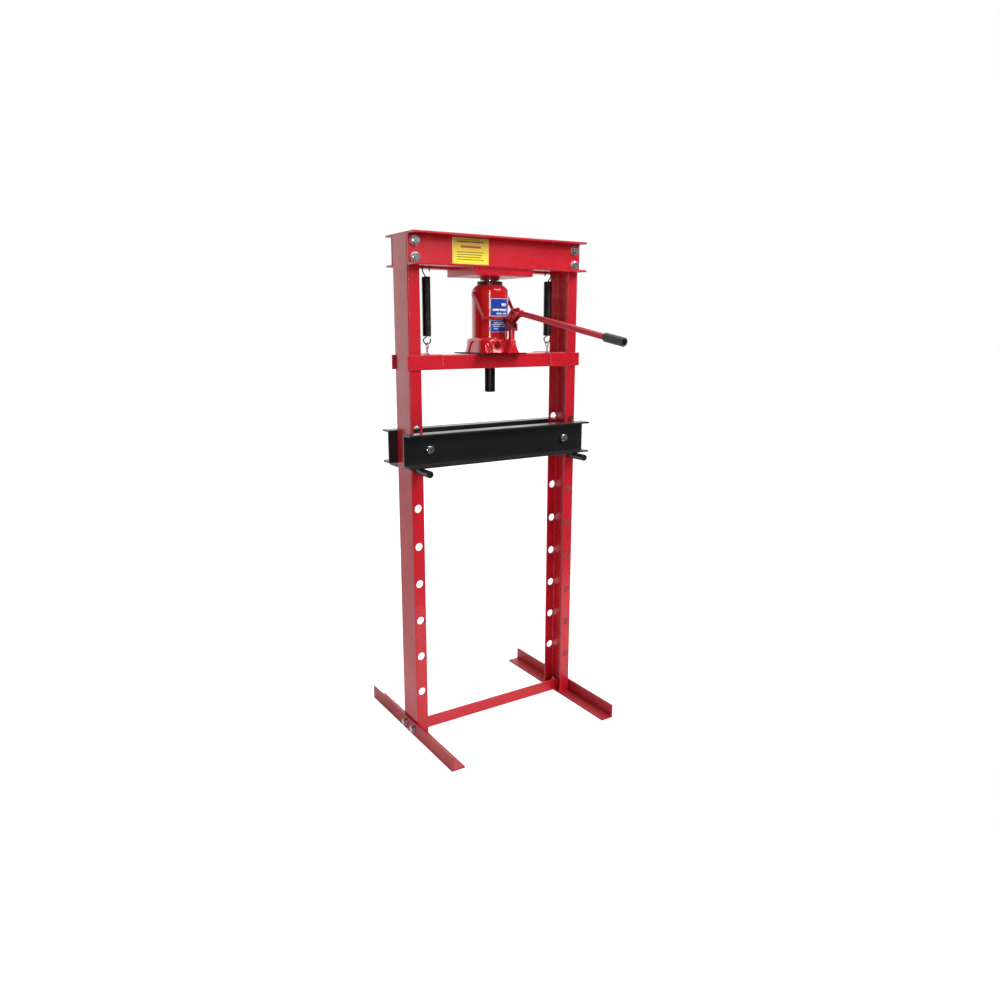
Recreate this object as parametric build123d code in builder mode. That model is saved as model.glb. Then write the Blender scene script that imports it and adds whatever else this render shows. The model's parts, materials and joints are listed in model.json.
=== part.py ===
"""Hydraulic shop press: H-frame, bottle jack on a sprung platform, adjustable bed.

X runs across the press, -Y is the front, +Z is up.  The origin is on the floor, midway between the feet.
All lengths are in millimetres.
"""
import math
import os

from build123d import *

os.makedirs("parts", exist_ok=True)

# ---------------------------------------------------------------- driving dimensions
total_height = 1300
frame_width = 510
column_depth = 82
column_flange = 32
column_wall = 4.5
running_gap = 0.5
thin_fit = 0.05

foot_length = 476
foot_leg = 38
foot_wall = 5
brace_height = 32
brace_wall = 4

head_beam_height = 76
head_beam_reach = 36.5
beam_wall = 5
head_plate_width = 172
head_plate_depth = 141
head_plate_thickness = 18

hole_diameter = 21
pin_hole_count = 8
lowest_hole = 129.5
hole_pitch = 100.2
pinned_hole = 6
hole_inset = 16
head_bolt_inset = 18
pin_diameter = 18
pin_length = 220

bed_height = 85
bed_length = 556
bed_reach = 31
bed_bolt_spacing = 418

platform_bottom = 977
platform_height = 36
guide_width = 96
guide_overhang = 7
ram_diameter = 28
ram_tip = 913

spring_spacing = 370
spring_diameter = 22
spring_wire = 2.6
coil_bottom = 1057
coil_top = 1202

tank_radius = 48
tank_wall = 3
rod_radius = 19
bore_radius = 21

pump_x = 19
fulcrum_y = -61
fulcrum_z = 1096
crank_length = 14
crank_droop = 21
handle_droop = 9.34
handle_diameter = 14
grip_diameter = 20

# ---------------------------------------------------------------- derived places
half_frame = frame_width / 2
half_depth = column_depth / 2
beam_face = half_depth + beam_wall
head_bottom = total_height - head_beam_height
plate_bottom = head_bottom - head_plate_thickness
hole_x = half_frame - hole_inset
head_bolt_x = half_frame - head_bolt_inset
pin_z = lowest_hole + pinned_hole * hole_pitch - hole_diameter / 2 + pin_diameter / 2 + thin_fit
bed_bottom = pin_z + pin_diameter / 2 + 0.3
bed_face = half_depth + running_gap + beam_wall
platform_top = platform_bottom + platform_height
guide_face = half_depth + running_gap
spring_x = spring_spacing / 2


def save(builder, name):
    """Label a finished piece and write its STEP file."""
    builder.part.label = name
    export_step(builder.part, "parts/" + name + ".step")


def facing_front(points):
    """Placements whose +Z looks forward (-Y)."""
    return [Location(point, (90, 0, 0)) for point in points]


def facing_back(points):
    """Placements whose +Z looks backward (+Y)."""
    return [Location(point, (-90, 0, 0)) for point in points]


def facing_left(points):
    """Placements whose +Z looks to -X."""
    return [Location(point, (0, -90, 0)) for point in points]


def facing_right(points):
    """Placements whose +Z looks to +X."""
    return [Location(point, (0, 90, 0)) for point in points]


def hexagon_head(width, height, crown):
    """Hexagon prism on the XY plane, its upper corners turned off to a cone (adds to the open part)."""
    with BuildSketch() as hexagon:
        RegularPolygon(width / 2, 6, major_radius=False)
    extrude(hexagon.sketch, amount=height)
    corner = width / math.sqrt(3) + 0.05
    with BuildSketch(Plane.XZ) as crowned:
        with BuildLine():
            Polyline((0, 0), (corner, 0), (corner, height - crown), (corner - 1.9 * crown, height),
                     (0, height), close=True)
        make_face()
    revolve(crowned.sketch, axis=Axis.Z, mode=Mode.INTERSECT)


def hexagon_bolt(width, height, diameter, length):
    """Bolt with its head on the XY plane and its chamfered shank below (adds to the open part)."""
    hexagon_head(width, height, diameter / 10)
    with BuildSketch() as shank:
        Circle(diameter / 2)
    extrude(shank.sketch, amount=-length)
    chamfer(edges().group_by(Axis.Z)[0], diameter / 10)


def ring(inner, outer, bottom, height):
    """Plain ring about the Z axis (adds to the open part)."""
    with BuildSketch(Plane.XY.offset(bottom)) as section:
        Circle(outer)
        Circle(inner, mode=Mode.SUBTRACT)
    extrude(section.sketch, amount=height)


# ---------------------------------------------------------------- fastener patterns
m12_width, m12_head, m12_nut, m12_washer = 19, 7.5, 10.0, 2.5
m10_width, m10_head, m10_nut, m10_washer = 16, 6.4, 8.0, 2.0
head_bolt_length = 24
foot_bolt_length = 22
bed_bolt_length = 2 * bed_face + 2 * m12_washer + m12_nut + 4

with BuildPart() as head_bolt:
    hexagon_bolt(m12_width, m12_head, 12, head_bolt_length)

with BuildPart() as bed_bolt:
    hexagon_bolt(m12_width, m12_head, 12, bed_bolt_length)

with BuildPart() as foot_bolt:
    hexagon_bolt(m10_width, m10_head, 10, foot_bolt_length)

with BuildPart() as m12_nut_part:
    hexagon_head(m12_width, m12_nut, 1.2)
    Hole(6 + thin_fit)

with BuildPart() as m10_nut_part:
    hexagon_head(m10_width, m10_nut, 1.0)
    Hole(5 + thin_fit)

with BuildPart() as m6_nut_part:
    hexagon_head(10, 5, 0.7)
    Hole(3 + thin_fit)

with BuildPart() as m12_washer_part:
    ring(6.5, 12, 0, m12_washer)

with BuildPart() as m10_washer_part:
    ring(5.25, 10, 0, m10_washer)

# ---------------------------------------------------------------- columns
column_bottom = foot_wall
head_bolt_heights = (head_bottom + 18, head_bottom + 56)
foot_bolt_y = 24
foot_bolt_z = 19
left_web_plane = Plane.YZ.offset(-half_frame - 1)

with BuildPart() as left_column:
    with BuildSketch(Plane.XY.offset(column_bottom)):
        with Locations((-half_frame + column_flange / 2, 0)):
            Rectangle(column_flange, column_depth)
        with Locations((-half_frame + column_wall + column_flange / 2, 0)):
            Rectangle(column_flange, column_depth - 2 * column_wall, mode=Mode.SUBTRACT)
        fillet(vertices().group_by(Axis.X)[0], 3.5)
        inner_corners = [v for v in vertices() if abs(v.X + half_frame - column_wall) < 0.01]
        fillet(inner_corners, 3)
        fillet(vertices().group_by(Axis.X)[-1], 1.2)
    extrude(amount=total_height - column_bottom)
    with BuildSketch(Plane.XZ.offset(-half_depth - 1)):
        for index in range(pin_hole_count):
            with Locations((-hole_x, lowest_hole + index * hole_pitch)):
                Circle(hole_diameter / 2)
        for height in head_bolt_heights:
            with Locations((-head_bolt_x, height)):
                Circle(6.5)
    extrude(amount=column_depth + 2, mode=Mode.SUBTRACT)
    with BuildSketch(left_web_plane):
        with Locations((-foot_bolt_y, foot_bolt_z), (foot_bolt_y, foot_bolt_z)):
            Circle(5.25)
    extrude(amount=column_wall + 2, mode=Mode.SUBTRACT)
save(left_column, "left_column")

with BuildPart() as right_column:
    mirror(left_column.part, about=Plane.YZ)
save(right_column, "right_column")

# ---------------------------------------------------------------- head beams
label_width = 104
label_height = 63
label_centre_x = -84


def outward_channel(length, height, reach, inner_face, wall, bottom):
    """Channel along X, web against the columns and flanges pointing forward (adds to the open part)."""
    with BuildSketch(Plane.YZ.offset(-length / 2)) as section:
        with Locations((-inner_face - (wall + reach) / 2, bottom + height / 2)):
            Rectangle(wall + reach, height)
        with Locations((-inner_face - wall - reach / 2 - 1, bottom + height / 2)):
            Rectangle(reach + 2, height - 2 * wall, mode=Mode.SUBTRACT)
        root = [v for v in vertices() if abs(v.Y + inner_face + wall) < 0.01]
        fillet(root, 5)
        fillet(vertices().group_by(Axis.Y)[-1], 1.5)
        fillet(vertices().group_by(Axis.Y)[0], 1.5)
    extrude(section.sketch, amount=length)


with BuildPart() as front_head_beam:
    outward_channel(frame_width, head_beam_height, head_beam_reach - beam_wall, half_depth, beam_wall,
                    head_bottom)
    with BuildSketch(Plane.XZ.offset(half_depth - 1)):
        for side in (-1, 1):
            for height in head_bolt_heights:
                with Locations((side * head_bolt_x, height)):
                    Circle(6.5)
    extrude(amount=beam_wall + 2, mode=Mode.SUBTRACT)
save(front_head_beam, "front_head_beam")

with BuildPart() as rear_head_beam:
    mirror(front_head_beam.part, about=Plane.XZ)
save(rear_head_beam, "rear_head_beam")

bolt_grid = [(side * head_bolt_x, height) for side in (-1, 1) for height in head_bolt_heights]
front_seats = [(x, -beam_face, z) for x, z in bolt_grid]
rear_seats = [(x, beam_face, z) for x, z in bolt_grid]
front_inside = [(x, -half_depth + column_wall, z) for x, z in bolt_grid]
rear_inside = [(x, half_depth - column_wall, z) for x, z in bolt_grid]

with BuildPart() as head_washers:
    with Locations(*facing_front(front_seats), *facing_back(rear_seats)):
        add(m12_washer_part.part)
save(head_washers, "head_washers")

with BuildPart() as head_bolts:
    with Locations(*facing_front([(x, y - m12_washer, z) for x, y, z in front_seats]),
                   *facing_back([(x, y + m12_washer, z) for x, y, z in rear_seats])):
        add(head_bolt.part)
save(head_bolts, "head_bolts")

with BuildPart() as head_nuts:
    with Locations(*facing_back(front_inside), *facing_front(rear_inside)):
        add(m12_nut_part.part)
save(head_nuts, "head_nuts")

with BuildPart() as caution_label:
    with BuildSketch(Plane.XZ.offset(beam_face)):
        with Locations((label_centre_x, head_bottom + head_beam_height / 2)):
            RectangleRounded(label_width, label_height, 1.5)
    extrude(amount=0.4)
save(caution_label, "caution_label")

with BuildPart() as head_plate:
    with BuildSketch(Plane.XY.offset(plate_bottom)):
        Rectangle(head_plate_width, head_plate_depth)
    extrude(amount=head_plate_thickness)
    chamfer(head_plate.edges().group_by(Axis.Z)[0], 1.2)
save(head_plate, "head_plate")

ring_height = 8
ring_bottom = plate_bottom - ring_height
with BuildPart() as jack_socket_ring:
    ring(20.5, 25, ring_bottom, ring_height)
    chamfer(jack_socket_ring.edges().group_by(Axis.Z)[0], 0.8)
save(jack_socket_ring, "jack_socket_ring")

# ---------------------------------------------------------------- feet and brace
with BuildPart() as left_foot:
    with BuildSketch(Plane.XZ.offset(-foot_length / 2)):
        with Locations((-half_frame - foot_wall + foot_leg / 2, foot_wall / 2)):
            Rectangle(foot_leg, foot_wall)
        with Locations((-half_frame - foot_wall / 2, foot_leg / 2)):
            Rectangle(foot_wall, foot_leg)
        fillet(vertices().group_by(Axis.X)[-1].sort_by(Axis.Y)[-1], 3)
        fillet(vertices().group_by(Axis.Y)[-1].sort_by(Axis.X)[-1], 3)
    extrude(amount=foot_length)
    with BuildSketch(Plane.YZ.offset(-half_frame - foot_wall - 1)):
        with Locations((-foot_bolt_y, foot_bolt_z), (foot_bolt_y, foot_bolt_z)):
            Circle(5.25)
    extrude(amount=foot_wall + 2, mode=Mode.SUBTRACT)
save(left_foot, "left_foot")

with BuildPart() as right_foot:
    mirror(left_foot.part, about=Plane.YZ)
save(right_foot, "right_foot")

foot_grid = [(side, y) for side in (-1, 1) for y in (-foot_bolt_y, foot_bolt_y)]
outer_x = half_frame + foot_wall
inner_x = half_frame - column_wall

with BuildPart() as foot_washers:
    with Locations(*facing_left([(-outer_x, y, foot_bolt_z) for side, y in foot_grid if side < 0]),
                   *facing_right([(outer_x, y, foot_bolt_z) for side, y in foot_grid if side > 0])):
        add(m10_washer_part.part)
save(foot_washers, "foot_washers")

head_x = outer_x + m10_washer
with BuildPart() as foot_bolts:
    with Locations(*facing_left([(-head_x, y, foot_bolt_z) for side, y in foot_grid if side < 0]),
                   *facing_right([(head_x, y, foot_bolt_z) for side, y in foot_grid if side > 0])):
        add(foot_bolt.part)
save(foot_bolts, "foot_bolts")

with BuildPart() as foot_nuts:
    with Locations(*facing_right([(-inner_x, y, foot_bolt_z) for side, y in foot_grid if side < 0]),
                   *facing_left([(inner_x, y, foot_bolt_z) for side, y in foot_grid if side > 0])):
        add(m10_nut_part.part)
save(foot_nuts, "foot_nuts")

brace_front = -15.5
with BuildPart() as base_brace:
    with BuildSketch(Plane.YZ.offset(-inner_x)):
        with Locations((brace_front + brace_wall / 2, column_bottom + brace_height / 2)):
            Rectangle(brace_wall, brace_height)
        with Locations((brace_front + brace_height / 2, column_bottom + brace_wall / 2)):
            Rectangle(brace_height, brace_wall)
        root = [v for v in vertices() if abs(v.X - brace_front - brace_wall) < 0.01]
        fillet([v for v in root if abs(v.Y - column_bottom - brace_wall) < 0.01], 4)
    extrude(amount=2 * inner_x)
save(base_brace, "base_brace")

# ---------------------------------------------------------------- return springs and their anchors
coil_mean = (spring_diameter - spring_wire) / 2
coil_groove = spring_diameter / 2 - 0.5
coil_bore = coil_mean - spring_wire / 2 - 0.4
hook_centre = 1234
hanger_radius = 4
hanger_z = hook_centre + coil_mean - spring_wire / 2 - hanger_radius - thin_fit
loop_centre = coil_bottom - coil_mean
turn_count = round((coil_top - coil_bottom) / spring_wire)
turn_pitch = (coil_top - coil_bottom) / turn_count
eye_wire = 4
eye_mean = 6
eye_centre = loop_centre - coil_mean + (spring_wire + eye_wire) / 2 + 0.3 - eye_mean

with BuildPart() as spring_hanger_rods:
    with BuildSketch(Plane.XZ.offset(-half_depth)):
        with Locations((-spring_x, hanger_z), (spring_x, hanger_z)):
            Circle(hanger_radius)
    extrude(amount=2 * half_depth)
save(spring_hanger_rods, "spring_hanger_rods")


def return_spring(x):
    """Close-wound coil with a long open hook above and a round loop below (adds to the open part)."""
    axis = Axis((x, 0, 0), (0, 0, 1))
    with BuildSketch(Plane.XZ) as section:
        with BuildLine():
            for turn in range(turn_count):
                low = coil_bottom + turn * turn_pitch
                ThreePointArc((x + coil_groove, low), (x + spring_diameter / 2, low + turn_pitch / 2),
                              (x + coil_groove, low + turn_pitch))
            Polyline((x + coil_groove, coil_top), (x + coil_bore, coil_top),
                     (x + coil_bore, coil_bottom), (x + coil_groove, coil_bottom))
        make_face()
    revolve(section.sketch, axis=axis)
    hook_foot = coil_top - spring_wire / 2
    with BuildLine() as hook_path:
        Line((x + coil_mean, 0, hook_foot), (x + coil_mean, 0, hook_centre))
        ThreePointArc((x + coil_mean, 0, hook_centre), (x, 0, hook_centre + coil_mean),
                      (x - coil_mean, 0, hook_centre))
        Line((x - coil_mean, 0, hook_centre), (x - coil_mean, 0, coil_top + 10))
    with BuildSketch(Plane((x + coil_mean, 0, hook_foot))) as hook_section:
        Circle(spring_wire / 2)
    sweep(hook_section.sketch, path=hook_path.wires()[0])
    reach = math.radians(60)
    with BuildLine() as loop_path:
        Line((x + coil_mean, 0, coil_bottom + spring_wire / 2), (x + coil_mean, 0, loop_centre))
        ThreePointArc((x + coil_mean, 0, loop_centre), (x, 0, loop_centre - coil_mean),
                      (x - coil_mean * math.cos(reach), 0, loop_centre + coil_mean * math.sin(reach)))
    loop_plane = Plane((x + coil_mean, 0, coil_bottom + spring_wire / 2), z_dir=(0, 0, -1))
    with BuildSketch(loop_plane) as loop_section:
        Circle(spring_wire / 2)
    sweep(loop_section.sketch, path=loop_path.wires()[0])


with BuildPart() as left_return_spring:
    return_spring(-spring_x)
save(left_return_spring, "left_return_spring")

with BuildPart() as right_return_spring:
    return_spring(spring_x)
save(right_return_spring, "right_return_spring")

with BuildPart() as spring_eye_bolts:
    for side in (-1, 1):
        with BuildSketch(Plane.XZ):
            with Locations((side * spring_x, eye_centre + eye_mean)):
                Circle(eye_wire / 2)
        revolve(axis=Axis((side * spring_x, 0, eye_centre), (1, 0, 0)))
        with BuildSketch(Plane.XY.offset(platform_top - beam_wall - 8)):
            with Locations((side * spring_x, 0)):
                Circle(3)
        extrude(amount=eye_centre - eye_mean - platform_top + beam_wall + 8)
        with BuildSketch(Plane.XY.offset(platform_top)):
            with Locations((side * spring_x, 0)):
                Circle(6)
        extrude(amount=3)
save(spring_eye_bolts, "spring_eye_bolts")

with BuildPart() as spring_eye_nuts:
    with Locations(*[Location((side * spring_x, 0, platform_top - beam_wall), (180, 0, 0))
                     for side in (-1, 1)]):
        add(m6_nut_part.part)
save(spring_eye_nuts, "spring_eye_nuts")

# ---------------------------------------------------------------- moving platform
platform_half = half_frame - column_flange - 3
guide_inner = half_frame + guide_overhang - guide_width
ram_top = platform_top - beam_wall

with BuildPart() as platform_beam:
    with BuildSketch(Plane.YZ.offset(-platform_half)):
        with Locations((0, platform_bottom + platform_height / 2)):
            Rectangle(2 * guide_face, platform_height)
        with Locations((0, platform_bottom + (platform_height - beam_wall) / 2)):
            Rectangle(2 * (guide_face - beam_wall), platform_height - beam_wall, mode=Mode.SUBTRACT)
        roof = [v for v in vertices() if abs(v.Y - platform_top + beam_wall) < 0.01]
        fillet(roof, 4)
        fillet(vertices().group_by(Axis.Y)[-1], 2)
    extrude(amount=2 * platform_half)
    with BuildSketch(Plane.XY.offset(platform_top - beam_wall - 1)):
        with Locations((-spring_x, 0), (spring_x, 0)):
            Circle(3 + thin_fit)
    extrude(amount=beam_wall + 2, mode=Mode.SUBTRACT)
save(platform_beam, "platform_beam")

with BuildPart() as front_guide_plates:
    with BuildSketch(Plane.XZ.offset(guide_face)):
        for side in (-1, 1):
            with Locations((side * (guide_inner + guide_width / 2), platform_bottom + platform_height / 2)):
                Rectangle(guide_width, platform_height)
    extrude(amount=beam_wall)
    chamfer(front_guide_plates.faces().sort_by(Axis.Y)[:2].edges(), 0.8)
save(front_guide_plates, "front_guide_plates")

with BuildPart() as rear_guide_plates:
    mirror(front_guide_plates.part, about=Plane.XZ)
save(rear_guide_plates, "rear_guide_plates")

with BuildPart() as press_ram:
    with BuildSketch(Plane.XY.offset(ram_tip)):
        Circle(ram_diameter / 2)
    extrude(amount=ram_top - ram_tip)
    chamfer(press_ram.edges().group_by(Axis.Z)[0], 1.5)
save(press_ram, "press_ram")

collar_height = 14
with BuildPart() as ram_collar:
    ring(ram_diameter / 2, ram_diameter / 2 + 10, ram_top - collar_height, collar_height)
    chamfer(ram_collar.edges().group_by(Axis.Z)[0].sort_by(SortBy.RADIUS)[-1], 2)
save(ram_collar, "ram_collar")

web_thickness = 5
with BuildPart() as platform_ribs:
    for side in (-1, 1):
        with BuildSketch(Plane.YZ.offset(side * 60 - web_thickness / 2)):
            with Locations((0, platform_bottom + 6 + (platform_height - beam_wall - 6 - 4) / 2)):
                Rectangle(2 * (guide_face - beam_wall), platform_height - beam_wall - 10)
        extrude(amount=web_thickness)
save(platform_ribs, "platform_ribs")

plate_thickness = 3
bearing_top = platform_top + plate_thickness
with BuildPart() as jack_bearing_plate:
    with BuildSketch(Plane.XY.offset(platform_top)):
        RectangleRounded(130, 156, 3)
    extrude(amount=plate_thickness)
save(jack_bearing_plate, "jack_bearing_plate")

# ---------------------------------------------------------------- bottle jack: base and tank
base_top = bearing_top + 36
base_front = -66
base_back = 54
base_half = 58
slab_height = 5
flare_top = bearing_top + 18
cylinder_seat = base_top - 8
crank_y = crank_length * math.cos(math.radians(crank_droop))
crank_z = crank_length * math.sin(math.radians(crank_droop))
pump_y = fulcrum_y - (crank_length + crank_y) / 2
valve_x = -15
valve_z = bearing_top + 20
valve_recess = 15
boss_top = bearing_top + 40

with BuildPart() as jack_base:
    base_middle = (0, (base_front + base_back) / 2)
    with BuildSketch(Plane.XY.offset(bearing_top)):
        with Locations(base_middle):
            RectangleRounded(2 * base_half, base_back - base_front, 14)
    extrude(amount=slab_height)
    with BuildSketch(Plane.XY.offset(bearing_top + slab_height)):
        with Locations(base_middle):
            RectangleRounded(2 * base_half - 2, base_back - base_front - 2, 13)
    with BuildSketch(Plane.XY.offset(bearing_top + 11)):
        RectangleRounded(108, 106, 34)
    with BuildSketch(Plane.XY.offset(flare_top)):
        RectangleRounded(103, 103, 50)
    loft()
    with BuildSketch(Plane.XY.offset(flare_top)):
        Circle(51.5)
    extrude(amount=base_top - flare_top)
    with BuildSketch(Plane.YZ.offset(-34)):
        with BuildLine():
            Polyline((-40, bearing_top + slab_height), (base_front + 2, bearing_top + slab_height),
                     (base_front + 3, bearing_top + 26), (base_front + 12, bearing_top + 33),
                     (-40, bearing_top + 33), close=True)
        make_face()
    extrude(amount=44)
    with BuildSketch(Plane.XY.offset(bearing_top + slab_height)):
        with Locations((pump_x, pump_y)):
            Circle(11.5)
    extrude(amount=boss_top - bearing_top - slab_height)
    with BuildSketch(Plane.XY.offset(bearing_top + slab_height)):
        with Locations((pump_x, (pump_y - 40) / 2)):
            Rectangle(23, -40 - pump_y)
    extrude(amount=base_top - bearing_top - slab_height)
    with BuildSketch(Plane.XY.offset(bearing_top + slab_height)):
        with Locations((pump_x, pump_y + 5)):
            RectangleRounded(40, 34, 12)
    with BuildSketch(Plane.XY.offset(bearing_top + 24)):
        with Locations((pump_x, pump_y + 5)):
            RectangleRounded(24, 30, 11)
    loft()
    with BuildSketch(Plane.XZ.offset(-base_front)):
        with Locations((valve_x, valve_z)):
            Circle(valve_recess / 2)
    extrude(amount=-6, mode=Mode.SUBTRACT)
    with BuildSketch(Plane.XZ.offset(-base_front)):
        with Locations((valve_x, valve_z)):
            Circle(4 + thin_fit)
    extrude(amount=-24, mode=Mode.SUBTRACT)
    with BuildSketch(Plane.XY.offset(base_top)):
        Circle(25 + thin_fit)
    extrude(amount=cylinder_seat - base_top, mode=Mode.SUBTRACT)
    with BuildSketch(Plane.XY.offset(boss_top)):
        with Locations((pump_x, pump_y)):
            Circle(8 + thin_fit)
    extrude(amount=-12, mode=Mode.SUBTRACT)
save(jack_base, "jack_base")

tank_shoulder = 1170
tank_top = 1186
neck_radius = 30
nut_top = 1195
nut_radius = 33
cylinder_top = 1180
with BuildPart() as oil_tank:
    with BuildSketch(Plane.XZ):
        with BuildLine():
            Line((tank_radius - tank_wall, base_top), (tank_radius, base_top))
            Line((tank_radius, base_top), (tank_radius, tank_shoulder))
            Spline((tank_radius, tank_shoulder), (tank_radius - 5.5, tank_shoulder + 10),
                   (nut_radius + 1, tank_top), tangents=((0, 1), (-1, 0.45)))
            Line((nut_radius + 1, tank_top), (neck_radius, tank_top))
            Line((neck_radius, tank_top), (neck_radius, tank_top - tank_wall))
            Spline((neck_radius, tank_top - tank_wall), (tank_radius - 9, tank_shoulder + 8),
                   (tank_radius - tank_wall, tank_shoulder - 2), tangents=((1, -0.2), (0, -1)))
            Line((tank_radius - tank_wall, tank_shoulder - 2), (tank_radius - tank_wall, base_top))
        make_face()
    revolve(axis=Axis.Z)
    with BuildSketch(Plane.XZ.offset(-tank_radius - 2)):
        with Locations((0, tank_shoulder - 14)):
            Circle(4)
    extrude(amount=10, mode=Mode.SUBTRACT)
save(oil_tank, "oil_tank")

with BuildPart() as filler_plug:
    with BuildSketch(Plane.XZ.offset(-tank_radius + tank_wall)):
        with Locations((0, tank_shoulder - 14)):
            Circle(4 - thin_fit)
    extrude(amount=-tank_wall - 0.5)
    with BuildSketch(Plane.XZ.offset(-tank_radius - 0.05)):
        with Locations((0, tank_shoulder - 14)):
            Circle(6.5)
    extrude(amount=-3)
    fillet(filler_plug.edges().group_by(Axis.Y)[-1], 1)
save(filler_plug, "filler_plug")

with BuildPart() as pressure_cylinder:
    ring(bore_radius, 25, cylinder_seat, cylinder_top - cylinder_seat)
save(pressure_cylinder, "pressure_cylinder")

with BuildPart() as gland_nut:
    ring(rod_radius + thin_fit, nut_radius, tank_top, nut_top - tank_top)
    ring(rod_radius + thin_fit, 29.5, cylinder_top, tank_top - cylinder_top)
    ring(25 + thin_fit, 29.5, cylinder_top - 10, 10)
    ring(rod_radius, 21.2, 1183, 4)
    with BuildSketch(Plane.XY.offset(1183)):
        Circle(21.2)
    extrude(amount=4, mode=Mode.SUBTRACT)
    chamfer(gland_nut.edges().group_by(Axis.Z)[-1].sort_by(SortBy.RADIUS)[-1], 1.5)
    with BuildSketch(Plane.XY.offset(nut_top - 4)):
        with PolarLocations(nut_radius, 6):
            Circle(3.5)
    extrude(amount=5, mode=Mode.SUBTRACT)
save(gland_nut, "gland_nut")

with BuildPart() as gland_seal:
    ring(rod_radius + 0.03, 21.15, 1183.05, 3.9)
save(gland_seal, "gland_seal")

# ---------------------------------------------------------------- bottle jack: piston held against the head
piston_bottom = cylinder_seat + 4
rod_top = nut_top + 1
screw_radius = 11
saddle_radius = 19.8
with BuildPart() as jack_piston:
    with BuildSketch(Plane.XY.offset(piston_bottom)):
        Circle(bore_radius - 0.07)
    extrude(amount=14)
    with BuildSketch(Plane.XY.offset(piston_bottom + 14)):
        Circle(rod_radius)
    extrude(amount=rod_top - piston_bottom - 14)
    ring(bore_radius - 3, bore_radius + 1, piston_bottom + 4, 5)
    with BuildSketch(Plane.XY.offset(piston_bottom + 4)):
        Circle(bore_radius + 2)
        Circle(bore_radius - 3, mode=Mode.SUBTRACT)
    extrude(amount=5, mode=Mode.SUBTRACT)
    with BuildSketch(Plane.XY.offset(rod_top)):
        Circle(screw_radius + thin_fit)
    extrude(amount=-80, mode=Mode.SUBTRACT)
save(jack_piston, "jack_piston")

with BuildPart() as piston_seal:
    ring(bore_radius - 3 + 0.02, bore_radius - 0.03, piston_bottom + 4.05, 4.9)
save(piston_seal, "piston_seal")

with BuildPart() as extension_screw:
    with BuildSketch(Plane.XY.offset(rod_top - 76)):
        Circle(screw_radius)
    extrude(amount=76)
    with BuildSketch(Plane.XY.offset(rod_top)):
        Circle(saddle_radius)
    extrude(amount=plate_bottom - rod_top)
    chamfer(extension_screw.edges().group_by(Axis.Z)[0], 1)
save(extension_screw, "extension_screw")

# ---------------------------------------------------------------- bottle jack: pump and linkage
pump_top = 1079
gland_top = 1084
crank_pin = (pump_x, fulcrum_y - crank_y, fulcrum_z - crank_z)
fulcrum = (pump_x, fulcrum_y, fulcrum_z)
eye_radius = 6
cheek_inner = 5.3
cheek_outer = 8.1
ear_inner = 8.6
ear_outer = 11.9
slot_relief = 0.8

with BuildPart() as pump_cylinder:
    with BuildSketch(Plane.XY.offset(boss_top - 12)):
        with Locations((pump_x, pump_y)):
            Circle(8)
            Circle(5.05, mode=Mode.SUBTRACT)
    extrude(amount=pump_top - boss_top + 12)
save(pump_cylinder, "pump_cylinder")

with BuildPart() as pump_gland:
    with BuildSketch(Plane.XY.offset(pump_top)):
        with Locations((pump_x, pump_y)):
            Circle(7.6)
            Circle(5.05, mode=Mode.SUBTRACT)
    extrude(amount=gland_top - pump_top)
save(pump_gland, "pump_gland")

bracket_bottom = 1071
with BuildPart() as fulcrum_bracket:
    with BuildSketch(Plane.XY.offset(bracket_bottom)):
        with Locations((pump_x, pump_y)):
            Circle(11.6)
            Circle(8 + thin_fit, mode=Mode.SUBTRACT)
    extrude(amount=pump_top - bracket_bottom)
    for start in (pump_x - ear_outer, pump_x + ear_inner):
        with BuildSketch(Plane.YZ.offset(start)):
            with BuildLine():
                Polyline((pump_y - 9, bracket_bottom), (pump_y + 8, bracket_bottom),
                         (fulcrum_y + eye_radius, fulcrum_z - 3), (fulcrum_y + eye_radius, fulcrum_z),
                         (fulcrum_y - 3.5, fulcrum_z + 4.8), (pump_y - 9, pump_top + 9), close=True)
            make_face()
            with Locations((fulcrum_y, fulcrum_z)):
                Circle(eye_radius)
        extrude(amount=ear_outer - ear_inner)
    with BuildSketch(Plane.YZ.offset(pump_x - ear_outer - 1)):
        with Locations((fulcrum_y, fulcrum_z)):
            Circle(3 + thin_fit)
    extrude(amount=2 * ear_outer + 2, mode=Mode.SUBTRACT)
    with BuildSketch(Plane.XY.offset(bracket_bottom)):
        with Locations((pump_x, pump_y)):
            Circle(8 + thin_fit)
    extrude(amount=pump_top - bracket_bottom + 0.1, mode=Mode.SUBTRACT)
save(fulcrum_bracket, "fulcrum_bracket")


def cross_pin(centre, radius, half_length):
    """Round pin along X, centred on a point (adds to the open part)."""
    x, y, z = centre
    with BuildSketch(Plane.YZ.offset(x - half_length)) as section:
        with Locations((y, z)):
            Circle(radius)
    extrude(section.sketch, amount=2 * half_length)


with BuildPart() as fulcrum_pin:
    cross_pin(fulcrum, 3, ear_outer + 2)
    with BuildSketch(Plane.YZ.offset(pump_x - ear_outer - 2)):
        with Locations((fulcrum_y, fulcrum_z)):
            Circle(4.5)
    extrude(amount=1.8)
save(fulcrum_pin, "fulcrum_pin")

with BuildPart() as crank_pin_part:
    cross_pin(crank_pin, 2.5, cheek_outer)
save(crank_pin_part, "crank_pin")

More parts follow.
